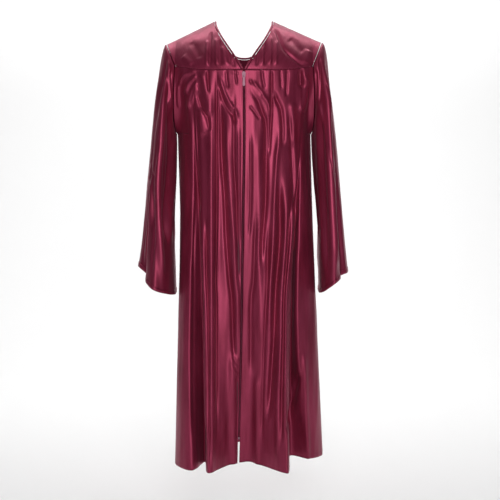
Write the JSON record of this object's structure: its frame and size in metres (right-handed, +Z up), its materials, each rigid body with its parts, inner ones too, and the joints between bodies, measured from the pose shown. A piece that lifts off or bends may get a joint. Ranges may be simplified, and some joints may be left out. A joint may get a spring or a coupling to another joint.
{
  "type": "graduation gown",
  "caption": "Long satin graduation gown with yokes, pleated panels, bell sleeves, a V neck and a centre-front zip, hollow as if worn.",
  "frame": {"origin": "midway between the two points where the shoulder seams meet the neck, at shoulder height, where the gown is held", "axes": "+Z up the wearer's body, the front faces -Y, the wearer's left is +X"},
  "size_m": [0.5632, 0.3736, 1.1837],
  "materials": {
    "satin": "shiny maroon polyester satin with soft vertical highlights, thin enough to let light through a single layer",
    "binding": "the same satin, folded over the neck's edge",
    "zip_tape": "matt maroon woven tape",
    "zip_coil": "maroon nylon coil, slightly glossy",
    "zip_metal": "enamelled dusky mauve metal"
  },
  "bodies": {
    "gown": {"front_yoke_right": "satin", "front_yoke_left": "satin", "back_yoke": "satin", "front_panel_right": "satin", "front_panel_left": "satin", "back_panel": "satin", "sleeve_right": "satin", "sleeve_left": "satin", "neck_binding_right": "binding", "neck_binding_left": "binding", "neck_binding_back": "binding", "zip_tape_right": "zip_tape", "zip_tape_left": "zip_tape", "zip_coil": "zip_coil", "zip_stop": "zip_metal", "zip_slider": "zip_metal"},
    "zip_pull": {"zip_pull": "zip_metal"}
  },
  "joints": [
    {"name": "pull_hinge", "type": "hinge", "parent": "gown", "child": "zip_pull", "pos_m": [0.00014, -0.13781, -0.156], "axis": [-1, 0, 0], "range_deg": [0, 150]}
  ]
}
